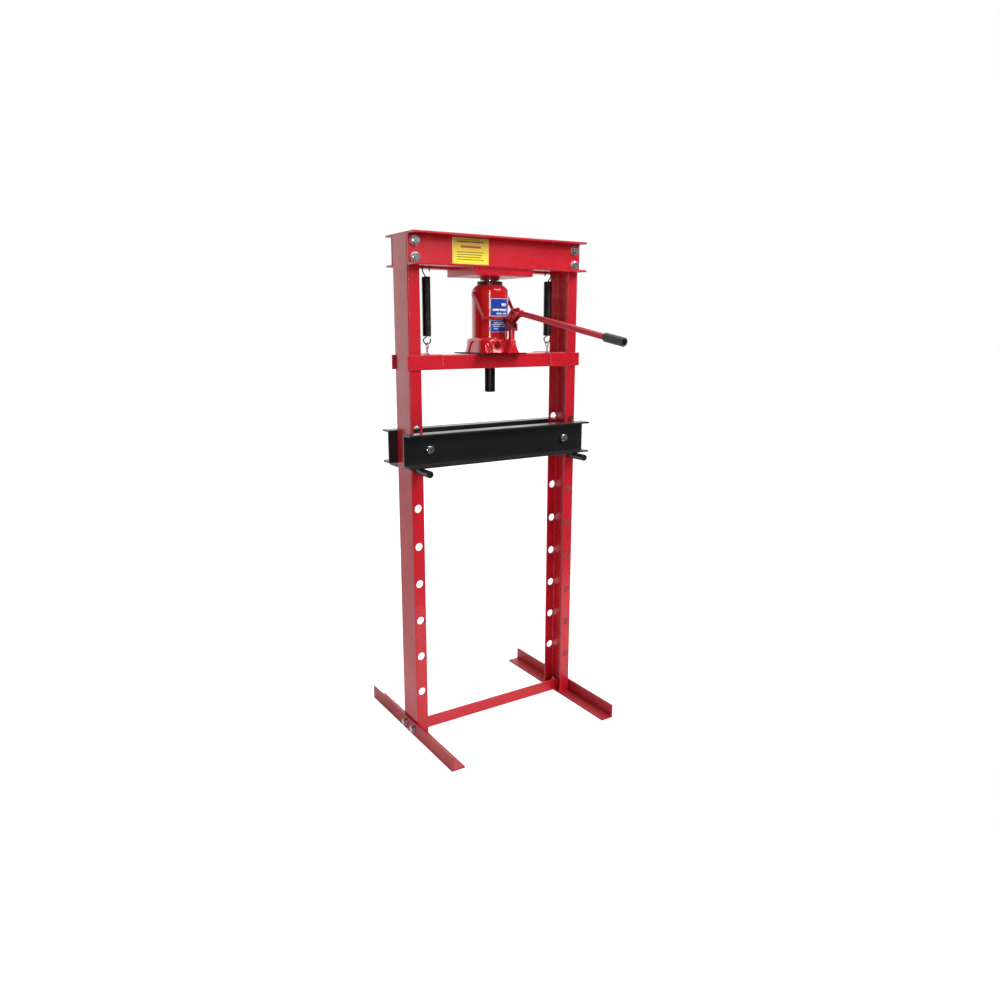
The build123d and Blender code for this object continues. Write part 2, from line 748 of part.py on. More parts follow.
plunger_radius = 5
plunger_foot = boss_top - 8
with BuildPart() as pump_plunger:
    with BuildSketch(Plane.XY.offset(plunger_foot)):
        with Locations((pump_x, pump_y)):
            Circle(plunger_radius)
    extrude(amount=crank_pin[2] - eye_radius + 2 - plunger_foot)
    with BuildSketch(Plane.YZ.offset(pump_x - 4)):
        with Locations((pump_y, crank_pin[2])):
            SlotOverall(2 * eye_radius + 2, 2 * eye_radius)
        with Locations((pump_y, crank_pin[2])):
            SlotOverall(2 * 2.7 + 2 * slot_relief, 2 * 2.7, mode=Mode.SUBTRACT)
    extrude(amount=8)
    with BuildSketch(Plane.YZ.offset(pump_x - 6)):
        with Locations((pump_y, crank_pin[2])):
            SlotOverall(2 * 2.7 + 2 * slot_relief, 2 * 2.7)
    extrude(amount=12, mode=Mode.SUBTRACT)
save(pump_plunger, "pump_plunger")

# ---------------------------------------------------------------- pump handle
droop = math.radians(handle_droop)
along = (0, -math.cos(droop), -math.sin(droop))
socket_start = (pump_x, -84, 1119.1)
sleeve_length = 34
sleeve_radius = 9
tube_length = 405
grip_start = 363
grip_length = 62


def handle_plane(distance):
    """Plane across the handle's axis, at a distance from the rear end of its sleeve."""
    place = [socket_start[i] + distance * along[i] for i in range(3)]
    return Plane(origin=place, x_dir=(1, 0, 0), z_dir=along)


screw_seat = 17
with BuildPart() as handle_socket:
    for start in (pump_x - cheek_outer, pump_x + cheek_inner):
        with BuildSketch(Plane.YZ.offset(start)):
            with BuildLine():
                Polyline((fulcrum_y + 4.4, fulcrum_z + 4.2), (-85.4, 1127), (-112, 1112),
                         (crank_pin[1] - 5.9, crank_pin[2] - 1.5), (crank_pin[1], crank_pin[2] - eye_radius),
                         (fulcrum_y + 1, fulcrum_z - eye_radius), close=True)
            make_face()
            with Locations((crank_pin[1], crank_pin[2]), (fulcrum_y, fulcrum_z)):
                Circle(eye_radius)
        extrude(amount=cheek_outer - cheek_inner)
    with BuildSketch(handle_plane(0)):
        Circle(sleeve_radius)
    extrude(amount=sleeve_length)
    with BuildSketch(handle_plane(-2)):
        Circle(handle_diameter / 2 + thin_fit)
    extrude(amount=sleeve_length + 20, mode=Mode.SUBTRACT)
    with BuildSketch(Plane.YZ.offset(pump_x - cheek_outer - 1)):
        with Locations((fulcrum_y, fulcrum_z)):
            Circle(3 + thin_fit)
        with Locations((crank_pin[1], crank_pin[2])):
            Circle(2.5)
    extrude(amount=2 * cheek_outer + 2, mode=Mode.SUBTRACT)
    screw_point = [socket_start[i] + screw_seat * along[i] for i in range(3)]
    screw_plane = Plane(origin=screw_point, x_dir=(1, 0, 0), z_dir=(0, -math.sin(droop), math.cos(droop)))
    with BuildSketch(screw_plane):
        Circle(3 + thin_fit)
    extrude(amount=20, mode=Mode.SUBTRACT)
save(handle_socket, "handle_socket")

with BuildPart() as clamp_screw:
    with BuildSketch(screw_plane.offset(handle_diameter / 2 + 0.05)):
        Circle(3)
    extrude(amount=5)
    with BuildSketch(screw_plane.offset(sleeve_radius + 0.1)):
        RegularPolygon(5, 6, major_radius=False)
    extrude(amount=2.8)
save(clamp_screw, "clamp_screw")

with BuildPart() as handle_tube:
    with BuildSketch(handle_plane(2)):
        Circle(handle_diameter / 2)
        Circle(handle_diameter / 2 - 2, mode=Mode.SUBTRACT)
    extrude(amount=tube_length - 2)
save(handle_tube, "handle_tube")

with BuildPart() as handle_grip:
    with BuildSketch(handle_plane(grip_start)):
        Circle(grip_diameter / 2)
        Circle(handle_diameter / 2 + 0.02, mode=Mode.SUBTRACT)
    extrude(amount=grip_length)
    fillet(handle_grip.edges().filter_by(GeomType.CIRCLE).sort_by(SortBy.RADIUS)[-2:], 1.5)
save(handle_grip, "handle_grip")

# ---------------------------------------------------------------- release valve, label, carry bail
with BuildPart() as release_valve:
    with BuildSketch(Plane.XZ.offset(-base_front + 1)):
        with Locations((valve_x, valve_z)):
            Circle(6.5)
    extrude(amount=-6.6)
    chamfer(release_valve.edges().group_by(Axis.Y)[0], 0.8)
    with BuildSketch(Plane.XZ.offset(-base_front - 5.5)):
        with Locations((valve_x, valve_z)):
            Circle(4)
    extrude(amount=-16)
    with BuildSketch(Plane.XZ.offset(-base_front + 1)):
        with Locations((valve_x, valve_z)):
            Rectangle(2.2, 14)
    extrude(amount=-3, mode=Mode.SUBTRACT)
save(release_valve, "release_valve")

label_bottom = 1068
label_top = 1152
label_arc = 68
label_turn = 2
label_skin = 0.35
with BuildPart() as jack_label:
    start = math.radians(270 + label_turn - label_arc / 2)
    middle = math.radians(270 + label_turn)
    finish = math.radians(270 + label_turn + label_arc / 2)
    inner = tank_radius + 0.05
    outer = inner + label_skin

    def around(radius, angle):
        """Point on a circle about the tank's axis."""
        return (radius * math.cos(angle), radius * math.sin(angle))

    with BuildSketch(Plane.XY.offset(label_bottom)):
        with BuildLine():
            ThreePointArc(around(inner, start), around(inner, middle), around(inner, finish))
            Line(around(inner, finish), around(outer, finish))
            ThreePointArc(around(outer, finish), around(outer, middle), around(outer, start))
            Line(around(outer, start), around(inner, start))
        make_face()
    extrude(amount=label_top - label_bottom)
save(jack_label, "jack_label")

bail_pivot_z = 1163
bail_inner = 48.5
bail_wall = 2.5
run_back = -49.5
run_front = run_back - bail_wall
run_bottom = 1099
run_top = 1107
stud_radius = 3.5

with BuildPart() as bail_studs:
    for side in (-1, 1):
        with BuildSketch(Plane.YZ.offset(side * (tank_radius - 1.5))):
            with Locations((0, bail_pivot_z)):
                Circle(stud_radius)
        extrude(amount=side * (bail_inner + bail_wall + 2 - tank_radius))
        with BuildSketch(Plane.YZ.offset(side * (bail_inner + bail_wall + 0.3))):
            with Locations((0, bail_pivot_z)):
                Circle(stud_radius + 1.2)
        extrude(amount=side * 1.3)
    with BuildSketch(Plane.XY.offset(bail_pivot_z - 8)):
        Circle(tank_radius + 0.02)
    extrude(amount=16, mode=Mode.SUBTRACT)
save(bail_studs, "bail_studs")

with BuildPart() as carry_bail:
    for start in (-bail_inner - bail_wall, bail_inner):
        with BuildSketch(Plane.YZ.offset(start)):
            with BuildLine():
                Polyline((3.6, bail_pivot_z - 5.8), (run_back - 1, run_bottom), (run_front, run_bottom),
                         (run_front, run_top), (-4.8, bail_pivot_z + 4.8), close=True)
            make_face()
            with Locations((0, bail_pivot_z)):
                Circle(6.2)
        extrude(amount=bail_wall)
    with BuildSketch(Plane.XY.offset(run_bottom)):
        with Locations((0, (run_front + run_back) / 2)):
            Rectangle(2 * (bail_inner + bail_wall), bail_wall)
    extrude(amount=run_top - run_bottom)
    front_bends = [edge for edge in carry_bail.edges().filter_by(Axis.Z)
                   if abs(edge.center().Y - run_front) < 0.1]
    fillet([edge for edge in front_bends if abs(edge.center().X) > bail_inner + bail_wall - 0.1], 2.3)
    with BuildSketch(Plane.YZ.offset(-bail_inner - bail_wall - 1)):
        with Locations((0, bail_pivot_z)):
            Circle(stud_radius + thin_fit)
    extrude(amount=2 * (bail_inner + bail_wall + 1), mode=Mode.SUBTRACT)
save(carry_bail, "carry_bail")

# ---------------------------------------------------------------- bed and its pins
bed_bolt_z = bed_bottom + 42
spacer_radius = 10
with BuildPart() as front_bed_beam:
    outward_channel(bed_length, bed_height, bed_reach, half_depth + running_gap, beam_wall, bed_bottom)
    with BuildSketch(Plane.XZ.offset(half_depth)):
        with Locations((-bed_bolt_spacing / 2, bed_bolt_z), (bed_bolt_spacing / 2, bed_bolt_z)):
            Circle(6.5)
    extrude(amount=beam_wall + 2, mode=Mode.SUBTRACT)
save(front_bed_beam, "front_bed_beam")

with BuildPart() as rear_bed_beam:
    mirror(front_bed_beam.part, about=Plane.XZ)
save(rear_bed_beam, "rear_bed_beam")

bed_bolt_places = [(side * bed_bolt_spacing / 2, bed_bolt_z) for side in (-1, 1)]
with BuildPart() as bed_bolts:
    with Locations(*facing_front([(x, -bed_face - m12_washer, z) for x, z in bed_bolt_places])):
        add(bed_bolt.part)
save(bed_bolts, "bed_bolts")

with BuildPart() as bed_washers:
    with Locations(*facing_front([(x, -bed_face, z) for x, z in bed_bolt_places]),
                   *facing_back([(x, bed_face, z) for x, z in bed_bolt_places])):
        add(m12_washer_part.part)
save(bed_washers, "bed_washers")

with BuildPart() as bed_nuts:
    with Locations(*facing_back([(x, bed_face + m12_washer, z) for x, z in bed_bolt_places])):
        add(m12_nut_part.part)
save(bed_nuts, "bed_nuts")

spacer_half = half_depth + running_gap
with BuildPart() as bed_spacer_tubes:
    with BuildSketch(Plane.XZ.offset(-spacer_half)):
        with Locations(*bed_bolt_places):
            Circle(spacer_radius)
            Circle(6.3, mode=Mode.SUBTRACT)
    extrude(amount=2 * spacer_half)
save(bed_spacer_tubes, "bed_spacer_tubes")


def bed_pin(x):
    """Loose steel pin along Y through both flanges of a column (adds to the open part)."""
    with BuildSketch(Plane.XZ.offset(-pin_length / 2)) as section:
        with Locations((x, pin_z)):
            Circle(pin_diameter / 2)
    extrude(section.sketch, amount=pin_length)


with BuildPart() as left_bed_pin:
    bed_pin(-hole_x)
    chamfer(left_bed_pin.edges().group_by(Axis.Y)[0], 1.5)
    chamfer(left_bed_pin.edges().group_by(Axis.Y)[-1], 1.5)
save(left_bed_pin, "left_bed_pin")

with BuildPart() as right_bed_pin:
    bed_pin(hole_x)
    chamfer(right_bed_pin.edges().group_by(Axis.Y)[0], 1.5)
    chamfer(right_bed_pin.edges().group_by(Axis.Y)[-1], 1.5)
save(right_bed_pin, "right_bed_pin")
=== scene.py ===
"""Looks of a hydraulic shop press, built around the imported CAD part.

X runs across the press, -Y is the front, +Z is up; the origin is on the floor between the feet.  Metres.
"""
import json
import math

import bpy
import numpy as np
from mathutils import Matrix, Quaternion, Vector


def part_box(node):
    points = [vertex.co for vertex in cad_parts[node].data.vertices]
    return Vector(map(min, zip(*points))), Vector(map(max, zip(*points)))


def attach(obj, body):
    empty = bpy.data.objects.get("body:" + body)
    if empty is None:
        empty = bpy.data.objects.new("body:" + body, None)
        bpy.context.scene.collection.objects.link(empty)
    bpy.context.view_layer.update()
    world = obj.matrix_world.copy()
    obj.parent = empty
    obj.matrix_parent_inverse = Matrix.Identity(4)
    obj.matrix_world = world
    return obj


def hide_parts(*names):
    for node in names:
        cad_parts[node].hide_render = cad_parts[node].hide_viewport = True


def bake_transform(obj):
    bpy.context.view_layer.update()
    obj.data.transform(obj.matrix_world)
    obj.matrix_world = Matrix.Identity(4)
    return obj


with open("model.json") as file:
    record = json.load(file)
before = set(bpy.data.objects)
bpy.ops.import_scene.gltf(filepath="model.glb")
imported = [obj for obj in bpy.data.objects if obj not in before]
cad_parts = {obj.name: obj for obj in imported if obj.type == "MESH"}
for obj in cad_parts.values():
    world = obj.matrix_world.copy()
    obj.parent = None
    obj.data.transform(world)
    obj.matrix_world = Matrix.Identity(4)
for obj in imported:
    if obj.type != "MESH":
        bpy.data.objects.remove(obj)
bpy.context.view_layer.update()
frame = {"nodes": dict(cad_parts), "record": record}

# ---------------------------------------------------------------- driving dimensions
guide_inner_x = 0.166
guide_weld_end = 0.2185
guide_back_y = 0.0415
platform_low = 0.977
platform_high = 1.013
spring_x = 0.185
spring_radius = 0.011
wire_radius = 0.0013
hook_radius = 0.0016
coil_low = 1.057
coil_high = 1.202
hook_top = 1.2437
loop_low = 1.0376
label_radius = 0.0484
beam_weld_z = 1.2238
weld_ripple = 0.0035
casting_low = 1.016
casting_high = 1.050


# ---------------------------------------------------------------- geometry helpers
def grid_quads(rows, columns, wrap_rows, wrap_columns):
    """Quads of a grid whose corner (i, j) is vertex i * columns + j."""
    i, j = np.meshgrid(np.arange(rows if wrap_rows else rows - 1),
                       np.arange(columns if wrap_columns else columns - 1), indexing="ij")
    i, j = i.ravel(), j.ravel()
    down, right = (i + 1) % rows, (j + 1) % columns
    return np.stack([i * columns + j, i * columns + right, down * columns + right, down * columns + j], 1)


def capped_shell(rows):
    """Closed surface through rows (n, m, 3) of rings: quads between them, and a fan about each end's mean."""
    count, sides = rows.shape[:2]
    points = np.concatenate([rows.reshape(-1, 3), rows[0].mean(0)[None], rows[-1].mean(0)[None]])
    j = np.arange(sides)
    after = (j + 1) % sides
    last = (count - 1) * sides
    start = np.stack([np.full(sides, count * sides), after, j], 1)
    finish = np.stack([np.full(sides, count * sides + 1), last + j, last + after], 1)
    return points, grid_quads(count, sides, False, True), np.concatenate([start, finish])


def ring_shell(rows):
    """Closed surface through rows (n, m, 3) of rings whose last ring joins the first."""
    count, sides = rows.shape[:2]
    return rows.reshape(-1, 3), grid_quads(count, sides, True, True), np.empty((0, 3), int)


def outward(points, quads, triangles):
    """The faces, turned over when the volume sum(a . (b x c)) / 6 they enclose comes out negative."""
    corners = np.concatenate([quads[:, [0, 1, 2]], quads[:, [0, 2, 3]], triangles])
    a, b, c = (points[corners[:, k]] - points.mean(0) for k in range(3))
    turn = 1 if np.einsum("ij,ij->i", a, np.cross(b, c)).sum() > 0 else -1
    return quads[:, ::turn], triangles[:, ::turn]


def piece(name, shells, material, body, smooth=True):
    """Mesh object made of closed shells [(points, quads, triangles)], riding a CAD body."""
    points, quads, triangles, first = [], [], [], 0
    for shell_points, shell_quads, shell_triangles in shells:
        shell_quads, shell_triangles = outward(shell_points, shell_quads, shell_triangles)
        points.append(shell_points)
        quads.append(first + shell_quads)
        triangles.append(first + shell_triangles)
        first += len(shell_points)
    faces = np.concatenate(quads).tolist() + np.concatenate(triangles).tolist()
    mesh = bpy.data.meshes.new(name)
    mesh.from_pydata(np.concatenate(points), [], faces)
    mesh.polygons.foreach_set("use_smooth", np.full(len(faces), smooth))
    mesh.materials.append(material)
    mesh.update()
    thing = bpy.data.objects.new(name, mesh)
    bpy.context.scene.collection.objects.link(thing)
    if body:
        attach(thing, body)
    return thing


def through(points, steps=12):
    """Catmull-Rom curve through points a, b, c, d:

    p(t) = (2b + (c - a)t + (2a - 5b + 4c - d)t^2 + (3b - a - 3c + d)t^3) / 2, from b to c.
    """
    p = np.asarray(points, float)
    p = np.concatenate([2 * p[:1] - p[1:2], p, 2 * p[-1:] - p[-2:-1]])
    a, b, c, d = (p[k:len(p) - 3 + k, None] for k in range(4))
    t = np.linspace(0, 1, steps, endpoint=False)[None, :, None]
    square = 2 * a - 5 * b + 4 * c - d
    cube = 3 * b - a - 3 * c + d
    curve = (2 * b + (c - a) * t + square * t ** 2 + cube * t ** 3) / 2
    return np.concatenate([curve.reshape(-1, 3), p[-2:-1]])


def tube_rows(path, radius, reference, sides=10):
    """Rings about a path: p_i + r_i (cos a U_i + sin a V_i), with unit U = T x reference and V = U x T."""
    path = np.asarray(path, float)
    tangent = np.gradient(path, axis=0)
    tangent /= np.linalg.norm(tangent, axis=1, keepdims=True)
    u = np.cross(tangent, np.broadcast_to(reference, path.shape))
    u /= np.linalg.norm(u, axis=1, keepdims=True)
    v = np.cross(u, tangent)
    angle = np.linspace(0, 2 * math.pi, sides, endpoint=False)[None, :, None]
    radius = np.broadcast_to(radius, len(path))[:, None, None]
    return path[:, None] + radius * (np.cos(angle) * u[:, None] + np.sin(angle) * v[:, None])


def box_shell(low, high):
    """Box between two corners, as six quads."""
    low, high = np.asarray(low, float), np.asarray(high, float)
    pick = np.array([(x, y, z) for x in (0, 1) for y in (0, 1) for z in (0, 1)])
    points = np.where(pick == 1, high, low)
    quads = np.array([(0, 1, 3, 2), (4, 6, 7, 5), (0, 4, 5, 1), (2, 3, 7, 6), (0, 2, 6, 4), (1, 5, 7, 3)])
    return points, quads, np.empty((0, 3), int)


def patch_shell(radius, thickness, start, finish, low, high, columns=24):
    """Plate bent about the Z axis, between two radii, two azimuths (degrees) and two heights."""
    angle = np.radians(np.linspace(start, finish, columns))
    corners = [(radius, low), (radius + thickness, low), (radius + thickness, high), (radius, high)]
    edges = [np.stack([r * np.cos(angle), r * np.sin(angle), np.full(columns, z)], 1) for r, z in corners]
    return capped_shell(np.stack(edges, 1))


def bead_shell(start, finish, radius, ripple=weld_ripple):
    """Weld bead between two points: a tube, r(s) = r0 (0.86 + 0.14 |cos(pi s / ripple)|) sqrt(end taper)."""
    start, finish = np.asarray(start, float), np.asarray(finish, float)
    length = np.linalg.norm(finish - start)
    s = np.linspace(0, length, max(12, int(length / ripple * 8)))
    taper = np.clip(np.minimum(s, length - s) / (1.5 * radius), 0.05, 1) ** 0.5
    swell = radius * taper * (0.86 + 0.14 * np.abs(np.cos(math.pi * s / ripple)))
    axis = (finish - start) / length
    reference = (0, 0, 1) if abs(axis[2]) < 0.9 else (1, 0, 0)
    return capped_shell(tube_rows(start + s[:, None] * axis, swell, reference, 12))


def ring_bead_shell(centre, ring_radius, radius, ripple=weld_ripple):
    """Weld bead round the Z axis: a closed tube whose radius ripples along the circle."""
    count = int(2 * math.pi * ring_radius / ripple * 8)
    angle = np.linspace(0, 2 * math.pi, count, endpoint=False)
    waves = round(2 * math.pi * ring_radius / ripple)
    swell = radius * (0.86 + 0.14 * np.abs(np.cos(waves * angle / 2)))
    spin = np.stack([np.cos(angle), np.sin(angle), 0 * angle], 1)
    side = np.linspace(0, 2 * math.pi, 12, endpoint=False)[None, :, None]
    ring = np.cos(side) * spin[:, None] + np.sin(side) * np.array([0, 0, 1.0])
    return ring_shell(np.asarray(centre) + ring_radius * spin[:, None] + swell[:, None, None] * ring)


# ---------------------------------------------------------------- shared material effects
def socket(tree, name, kind, value=None, output=False):
    """One named socket of a node group."""
    side = "OUTPUT" if output else "INPUT"
    made = tree.interface.new_socket(name, in_out=side, socket_type="NodeSocket" + kind)
    if value is not None:
        made.default_value = value


def new_group(name, inputs, outputs):
    """Empty node group with inputs [(name, kind, value)] and outputs [(name, kind)]."""
    tree = bpy.data.node_groups.new(name, "ShaderNodeTree")
    for label, kind, value in inputs:
        socket(tree, label, kind, value)
    for label, kind in outputs:
        socket(tree, label, kind, output=True)
    return tree, tree.nodes.new("NodeGroupInput"), tree.nodes.new("NodeGroupOutput")


def noise(tree, scale, detail=3.0):
    """Noise over the object's own coordinates."""
    place = tree.nodes.new("ShaderNodeTexCoord")
    texture = tree.nodes.new("ShaderNodeTexNoise")
    texture.inputs["Scale"].default_value = scale
    texture.inputs["Detail"].default_value = detail
    tree.links.new(place.outputs["Object"], texture.inputs["Vector"])
    return texture


def remap(tree, value, low, high, to_low=0.0, to_high=1.0):
    """Value mapped from low..high onto to_low..to_high, clamped."""
    node = tree.nodes.new("ShaderNodeMapRange")
    for label, number in (("From Min", low), ("From Max", high), ("To Min", to_low), ("To Max", to_high)):
        node.inputs[label].default_value = number
    tree.links.new(value, node.inputs["Value"])
    return node.outputs["Result"]


def maths(tree, operation, first, second):
    """Math node over sockets or numbers."""
    node = tree.nodes.new("ShaderNodeMath")
    node.operation = operation
    for place, value in enumerate((first, second)):
        if isinstance(value, (int, float)):
            node.inputs[place].default_value = value
        else:
            tree.links.new(value, node.inputs[place])
    return node.outputs["Value"]


def blend_colours(tree, factor, first, second):
    """Colour mix; first and second are sockets or RGBA values."""
    node = tree.nodes.new("ShaderNodeMix")
    node.data_type = "RGBA"
    for place, value in (("Factor", factor), ("A", first), ("B", second)):
        target = [s for s in node.inputs if s.name == place and s.enabled][0]
        if isinstance(value, (tuple, float, int)):
            target.default_value = value
        else:
            tree.links.new(value, target)
    return [s for s in node.outputs if s.name == "Result" and s.enabled][0]


def rounded_skin_group():
    """Normal of a sprayed surface: edges rounded by Radius, then fine waves of the given Scale and Depth."""
    inputs = [("Radius", "Float", 0.001), ("Scale", "Float", 300.0), ("Depth", "Float", 0.00002)]
    tree, inside, out = new_group("rounded_skin", inputs, [("Normal", "Vector")])
    bevel = tree.nodes.new("ShaderNodeBevel")
    bevel.samples = 4
    waves = noise(tree, 300.0, 2.0)
    bump = tree.nodes.new("ShaderNodeBump")
    tree.links.new(inside.outputs["Radius"], bevel.inputs["Radius"])
    tree.links.new(inside.outputs["Scale"], waves.inputs["Scale"])
    tree.links.new(inside.outputs["Depth"], bump.inputs["Distance"])
    tree.links.new(waves.outputs["Fac"], bump.inputs["Height"])
    tree.links.new(bevel.outputs["Normal"], bump.inputs["Normal"])
    tree.links.new(bump.outputs["Normal"], out.inputs["Normal"])
    return tree


def edge_mask_group():
    """1 on sharp edges and 0 on flats, from how far a rounded normal turns from the true one, broken up."""
    inputs = [("Radius", "Float", 0.001), ("Grain", "Float", 160.0)]
    tree, inside, out = new_group("edge_mask", inputs, [("Mask", "Float")])
    bevel = tree.nodes.new("ShaderNodeBevel")
    bevel.samples = 4
    tree.links.new(inside.outputs["Radius"], bevel.inputs["Radius"])
    true = tree.nodes.new("ShaderNodeNewGeometry")
    dot = tree.nodes.new("ShaderNodeVectorMath")
    dot.operation = "DOT_PRODUCT"
    tree.links.new(bevel.outputs["Normal"], dot.inputs[0])
    tree.links.new(true.outputs["Normal"], dot.inputs[1])
    edge = remap(tree, dot.outputs["Value"], 0.995, 0.86)
    grain = noise(tree, 160.0, 4.0)
    tree.links.new(inside.outputs["Grain"], grain.inputs["Scale"])
    broken = remap(tree, grain.outputs["Fac"], 0.35, 0.6)
    tree.links.new(maths(tree, "MULTIPLY", edge, broken), out.inputs["Mask"])
    return tree


def tone_group():
    """Colour drifting slowly between Light and Dark over the surface, with a faint finer mottle."""
    inputs = [("Light", "Color", (1, 1, 1, 1)), ("Dark", "Color", (0, 0, 0, 1)), ("Scale", "Float", 6.0)]
    tree, inside, out = new_group("tone", inputs, [("Color", "Color")])
    broad = noise(tree, 6.0, 1.0)
    tree.links.new(inside.outputs["Scale"], broad.inputs["Scale"])
    fine = noise(tree, 90.0, 3.0)
    drift = remap(tree, broad.outputs["Fac"], 0.3, 0.7, 0.0, 0.8)
    mottle = remap(tree, fine.outputs["Fac"], 0.3, 0.7, 0.0, 0.2)
    amount = maths(tree, "ADD", drift, mottle)
    mixed = blend_colours(tree, amount, inside.outputs["Light"], inside.outputs["Dark"])
    tree.links.new(mixed, out.inputs["Color"])
    return tree


def dust_group():
    """Pale dust on faces that look up: Color turned towards Dust by Amount, an upward mask and a noise."""
    inputs = [("Color", "Color", (1, 1, 1, 1)), ("Dust", "Color", (0.4, 0.38, 0.36, 1)),
              ("Amount", "Float", 0.1)]
    tree, inside, out = new_group("dust", inputs, [("Color", "Color")])
    facing = tree.nodes.new("ShaderNodeNewGeometry")
    split = tree.nodes.new("ShaderNodeSeparateXYZ")
    tree.links.new(facing.outputs["Normal"], split.inputs["Vector"])
    upward = remap(tree, split.outputs["Z"], 0.55, 0.95)
    cloud = noise(tree, 35.0, 5.0)
    patchy = remap(tree, cloud.outputs["Fac"], 0.3, 0.7, 0.35, 1.0)
    mask = maths(tree, "MULTIPLY", maths(tree, "MULTIPLY", upward, patchy), inside.outputs["Amount"])
    dusted = blend_colours(tree, mask, inside.outputs["Color"], inside.outputs["Dust"])
    tree.links.new(dusted, out.inputs["Color"])
    return tree


def smudge_group():
    """Roughness between Smooth and Rough, in soft smears."""
    inputs = [("Smooth", "Float", 0.2), ("Rough", "Float", 0.3), ("Scale", "Float", 14.0)]
    tree, inside, out = new_group("smudge", inputs, [("Roughness", "Float")])
    smear = noise(tree, 14.0, 4.0)
    tree.links.new(inside.outputs["Scale"], smear.inputs["Scale"])
    level = remap(tree, smear.outputs["Fac"], 0.35, 0.65)
    span = maths(tree, "SUBTRACT", inside.outputs["Rough"], inside.outputs["Smooth"])
    tree.links.new(maths(tree, "ADD", maths(tree, "MULTIPLY", span, level), inside.outputs["Smooth"]),
                   out.inputs["Roughness"])
    return tree


groups = {
    "skin": rounded_skin_group(),
    "edge": edge_mask_group(),
    "tone": tone_group(),
    "dust": dust_group(),
    "smudge": smudge_group(),
}


def use_group(tree, name, **values):
    """A shared effect placed in a material, with its own values or links."""
    node = tree.nodes.new("ShaderNodeGroup")
    node.node_tree = groups[name]
    for label, value in values.items():
        if isinstance(value, bpy.types.NodeSocket):
            tree.links.new(value, node.inputs[label])
        else:
            node.inputs[label].default_value = value
    return node


def new_material(name, colour, metallic=0.0, roughness=0.4):
    """Material with one Principled shader and a plain viewport colour."""
    material = bpy.data.materials.new(name)
    material.use_nodes = True
    material.diffuse_color = (*colour, 1)
    shader = material.node_tree.nodes["Principled BSDF"]
    shader.inputs["Base Color"].default_value = (*colour, 1)
    shader.inputs["Metallic"].default_value = metallic
    shader.inputs["Roughness"].default_value = roughness
    return material, material.node_tree, shader


def enamel(name, light, dark, edge_wear_and_glint_colour, smooth, rough, coat, radius=0.0009, dust=0.06, edge_wear_and_glint_amount=0.35,
           depth=0.000018):
    """Sprayed enamel: drifting colour, thin edges showing a paler tone, orange peel and a clear gloss; where
    the paler edge is strong and near white it is a painted glint.
    """
    material, tree, shader = new_material(name, light)
    tone = use_group(tree, "tone", Light=(*light, 1), Dark=(*dark, 1), Scale=5.0)
    edge = use_group(tree, "edge", Radius=radius, Grain=140.0)
    # paler edges: thin paint on most enamels, a painted glint on the weld beads
    edge_wear_and_glint_mask = maths(tree, "MULTIPLY", edge.outputs["Mask"], edge_wear_and_glint_amount)
    edged = blend_colours(tree, edge_wear_and_glint_mask, tone.outputs["Color"], (*edge_wear_and_glint_colour, 1))
    dusty = use_group(tree, "dust", Color=edged, Dust=(0.62, 0.56, 0.54, 1), Amount=dust)
    gloss = use_group(tree, "smudge", Smooth=smooth, Rough=rough, Scale=12.0)
    skin = use_group(tree, "skin", Radius=radius, Scale=260.0, Depth=depth)
    tree.links.new(dusty.outputs["Color"], shader.inputs["Base Color"])
    tree.links.new(gloss.outputs["Roughness"], shader.inputs["Roughness"])
    tree.links.new(skin.outputs["Normal"], shader.inputs["Normal"])
    shader.inputs["Coat Weight"].default_value = coat
    shader.inputs["Coat Roughness"].default_value = 0.06
    shader.inputs["Specular IOR Level"].default_value = 0.5
    return material


def bare_metal(name, light, dark, smooth, rough, metallic=1.0):
    """Metal with a drifting tone, small rounded edges and fine surface grain."""
    material, tree, shader = new_material(name, light, metallic)
    tone = use_group(tree, "tone", Light=(*light, 1), Dark=(*dark, 1), Scale=40.0)
    gloss = use_group(tree, "smudge", Smooth=smooth, Rough=rough, Scale=60.0)
    skin = use_group(tree, "skin", Radius=0.0006, Scale=420.0, Depth=0.000008)
    tree.links.new(tone.outputs["Color"], shader.inputs["Base Color"])
    tree.links.new(gloss.outputs["Roughness"], shader.inputs["Roughness"])
    tree.links.new(skin.outputs["Normal"], shader.inputs["Normal"])
    return material


def rubber(name, light, dark, roughness, depth):
    """Moulded rubber: uneven dark tone, pebbled skin and a dull sheen."""
    material, tree, shader = new_material(name, light)
    tone = use_group(tree, "tone", Light=(*light, 1), Dark=(*dark, 1), Scale=24.0)
    dusty = use_group(tree, "dust", Color=tone.outputs["Color"], Dust=(0.3, 0.29, 0.28, 1), Amount=0.25)
    skin = use_group(tree, "skin", Radius=0.001, Scale=900.0, Depth=depth)
    tree.links.new(dusty.outputs["Color"], shader.inputs["Base Color"])
    tree.links.new(skin.outputs["Normal"], shader.inputs["Normal"])
    shader.inputs["Roughness"].default_value = roughness
    return material


